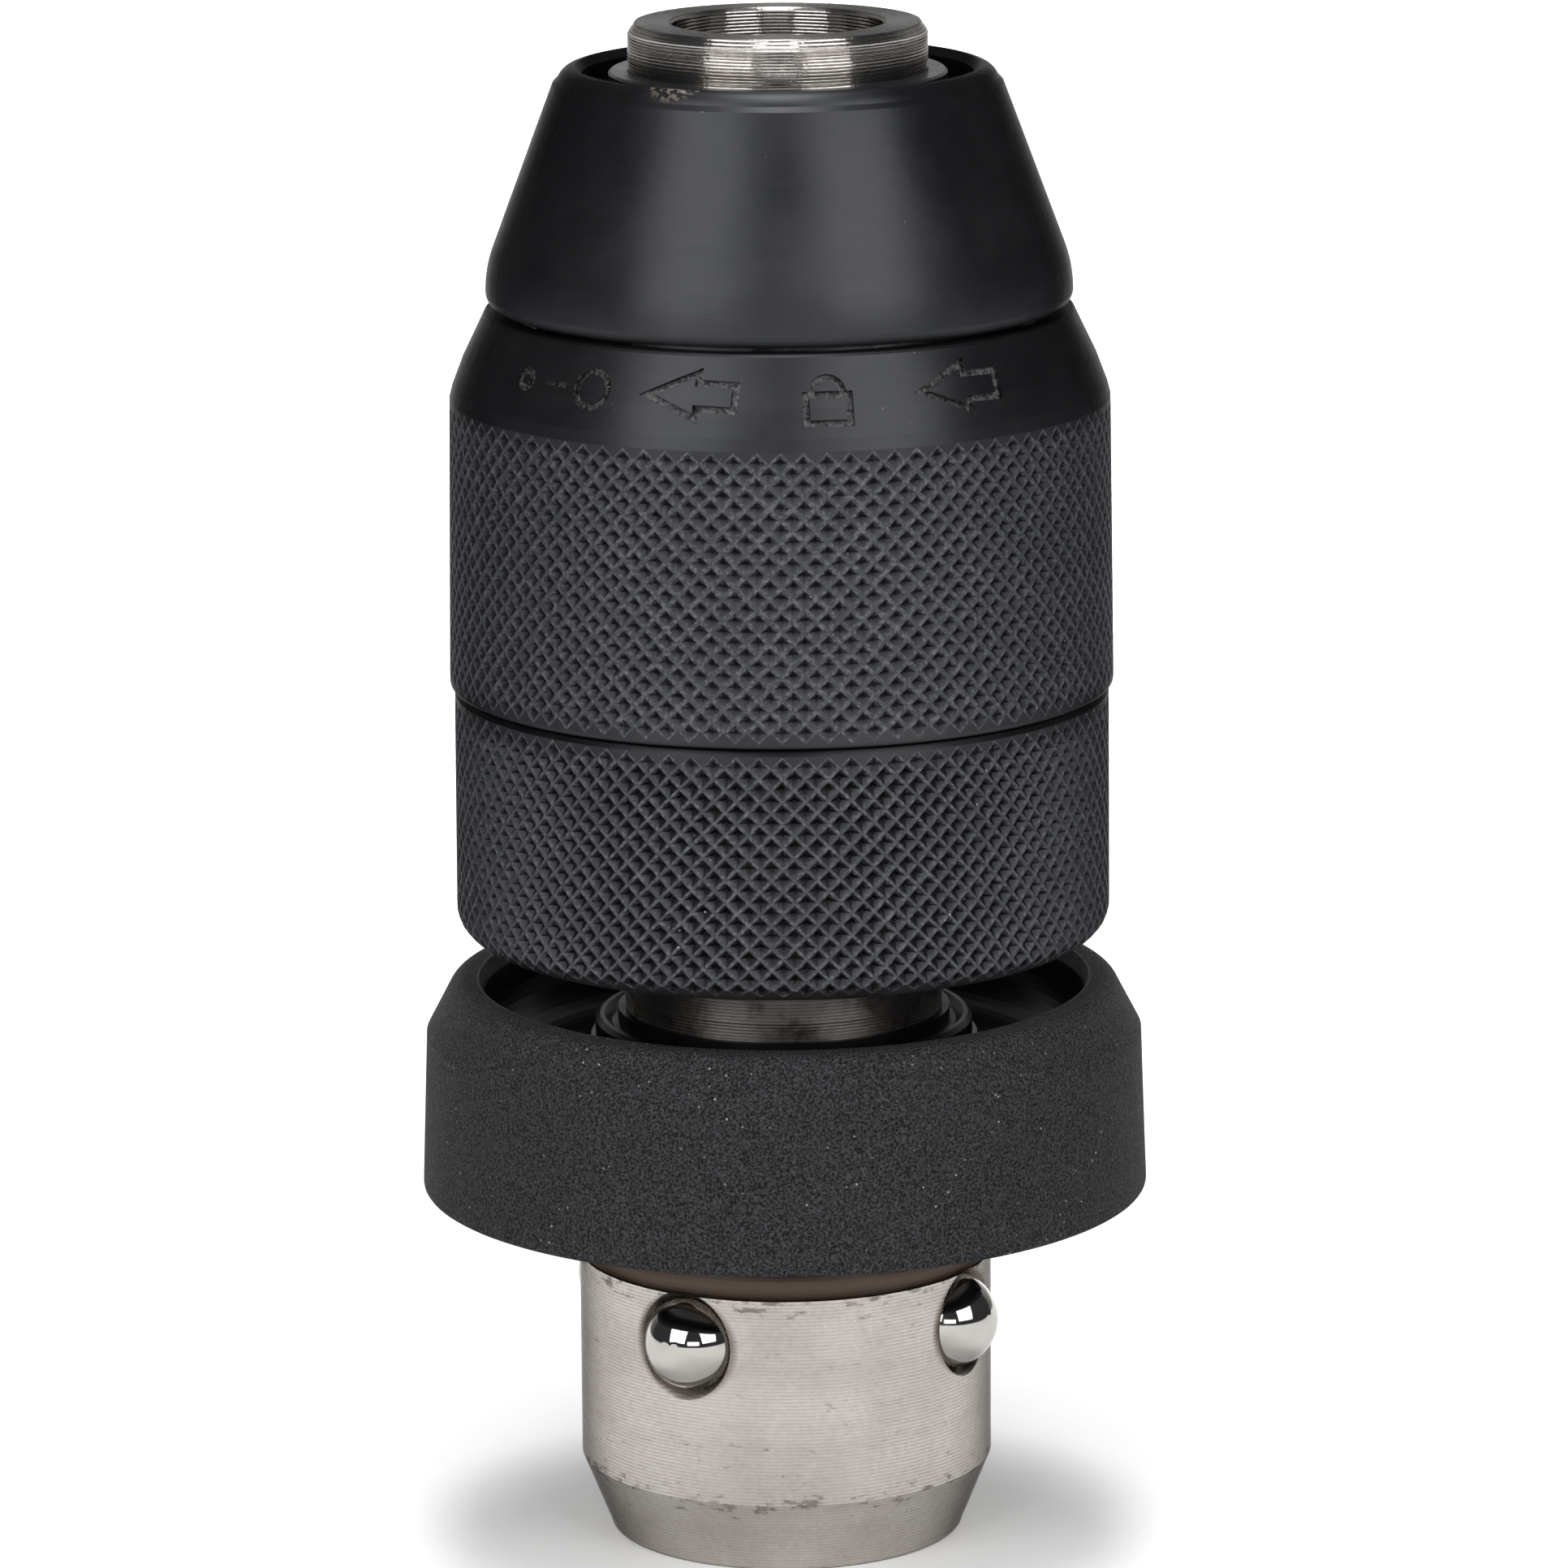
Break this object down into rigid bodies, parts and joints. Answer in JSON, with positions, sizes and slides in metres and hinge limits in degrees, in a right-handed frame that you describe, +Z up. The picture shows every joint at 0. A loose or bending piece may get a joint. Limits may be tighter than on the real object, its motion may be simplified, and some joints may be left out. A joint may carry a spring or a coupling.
{
  "type": "keyless drill chuck",
  "caption": "Two-sleeve keyless drill chuck with inclined jaws, a plastic guard collar and a ball-locked quick-change coupling tube.",
  "frame": {"origin": "on the chuck's axis, in the plane of the coupling tube's foot", "axes": "+Z up the axis towards the nose; -Y is the front, with the arrow marks"},
  "size_m": [0.0478, 0.0478, 0.1002],
  "materials": {
    "turned_steel": "fine turned, lightly stained",
    "bronze": "dull, browned",
    "pin_steel": "ground",
    "dark_steel": "hardened, oil-darkened",
    "spring_steel": "drawn wire and strip",
    "polished_steel": "polished",
    "black_plastic": "fine spark-eroded grain",
    "nickel_steel": "bright turned",
    "black_oxide": "black oxide",
    "burnished_steel": "blue-black burnished, knurled grip",
    "brass": "stamped",
    "jaw_steel": "ground"
  },
  "bodies": {
    "chuck": {"coupling_tube": "turned_steel", "stop_ring": "bronze", "tube_pins": "pin_steel", "drive_spindle": "dark_steel", "spigot_circlip": "spring_steel", "release_spring": "spring_steel", "guard_collar": "black_plastic", "chuck_body": "nickel_steel", "retaining_screw": "black_oxide", "holding_sleeve": "burnished_steel", "guide_ring": "black_plastic", "ratchet_ring": "pin_steel", "rear_race": "pin_steel", "nose_cone": "burnished_steel", "nose_washer": "black_oxide"},
    "clamp": {"clamping_sleeve": "burnished_steel", "drive_ring": "dark_steel", "nut_half_left": "pin_steel", "nut_half_right": "pin_steel", "nut_band": "dark_steel", "front_race": "pin_steel", "pawl_springs": "spring_steel"},
    "bearing": {"ball_cage": "brass", "thrust_balls": "polished_steel"},
    "jaw_1": {"jaw_1": "jaw_steel"},
    "jaw_2": {"jaw_2": "jaw_steel"},
    "jaw_3": {"jaw_3": "jaw_steel"},
    "release": {"release_sleeve": "turned_steel"},
    "lock_ball_1": {"lock_ball_1": "polished_steel"},
    "lock_ball_2": {"lock_ball_2": "polished_steel"},
    "lock_ball_3": {"lock_ball_3": "polished_steel"},
    "lock_ball_4": {"lock_ball_4": "polished_steel"}
  },
  "joints": [
    {"name": "clamp_turn", "type": "hinge", "parent": "chuck", "child": "clamp", "pos_m": [0, 0, 0.07], "axis": [0, 0, -1], "range_deg": [0, 3366]},
    {"name": "bearing_turn", "type": "hinge", "parent": "chuck", "child": "bearing", "pos_m": [0, 0, 0.0738], "axis": [0, 0, -1], "range_deg": [0, 1684]},
    {"name": "jaw_slide_1", "type": "slide", "parent": "chuck", "child": "jaw_1", "axis": [0, -0.2672, 0.9636], "range_m": [0, 0.02338]},
    {"name": "jaw_slide_2", "type": "slide", "parent": "chuck", "child": "jaw_2", "axis": [0.2314, 0.1336, 0.9636], "range_m": [0, 0.02338]},
    {"name": "jaw_slide_3", "type": "slide", "parent": "chuck", "child": "jaw_3", "axis": [-0.2314, 0.1336, 0.9636], "range_m": [0, 0.02338]},
    {"name": "release_slide", "type": "slide", "parent": "chuck", "child": "release", "axis": [0, 0, 1], "range_m": [0, 0.0062], "stiffness_N_per_m": 1300, "springref_m": -0.004, "deforming": ["release_spring"]},
    {"name": "ball_slide_1", "type": "slide", "parent": "chuck", "child": "lock_ball_1", "axis": [0.4894, 0.8721, 0], "range_m": [0, 0.0019]},
    {"name": "ball_slide_2", "type": "slide", "parent": "chuck", "child": "lock_ball_2", "axis": [-0.8721, 0.4894, 0], "range_m": [0, 0.0019]},
    {"name": "ball_slide_3", "type": "slide", "parent": "chuck", "child": "lock_ball_3", "axis": [-0.4894, -0.8721, 0], "range_m": [0, 0.0019]},
    {"name": "ball_slide_4", "type": "slide", "parent": "chuck", "child": "lock_ball_4", "axis": [0.8721, -0.4894, 0], "range_m": [0, 0.0019]}
  ],
  "couplings": [
    {"joint": "bearing_turn", "follows": "clamp_turn", "ratio": 0.5},
    {"joint": "jaw_slide_1", "follows": "clamp_turn", "m_per_rad": 0.00039789},
    {"joint": "jaw_slide_2", "follows": "clamp_turn", "m_per_rad": 0.00039789},
    {"joint": "jaw_slide_3", "follows": "clamp_turn", "m_per_rad": 0.00039789},
    {"joint": "ball_slide_1", "follows": "release_slide", "ratio": 0.30645},
    {"joint": "ball_slide_2", "follows": "release_slide", "ratio": 0.30645},
    {"joint": "ball_slide_3", "follows": "release_slide", "ratio": 0.30645},
    {"joint": "ball_slide_4", "follows": "release_slide", "ratio": 0.30645}
  ]
}
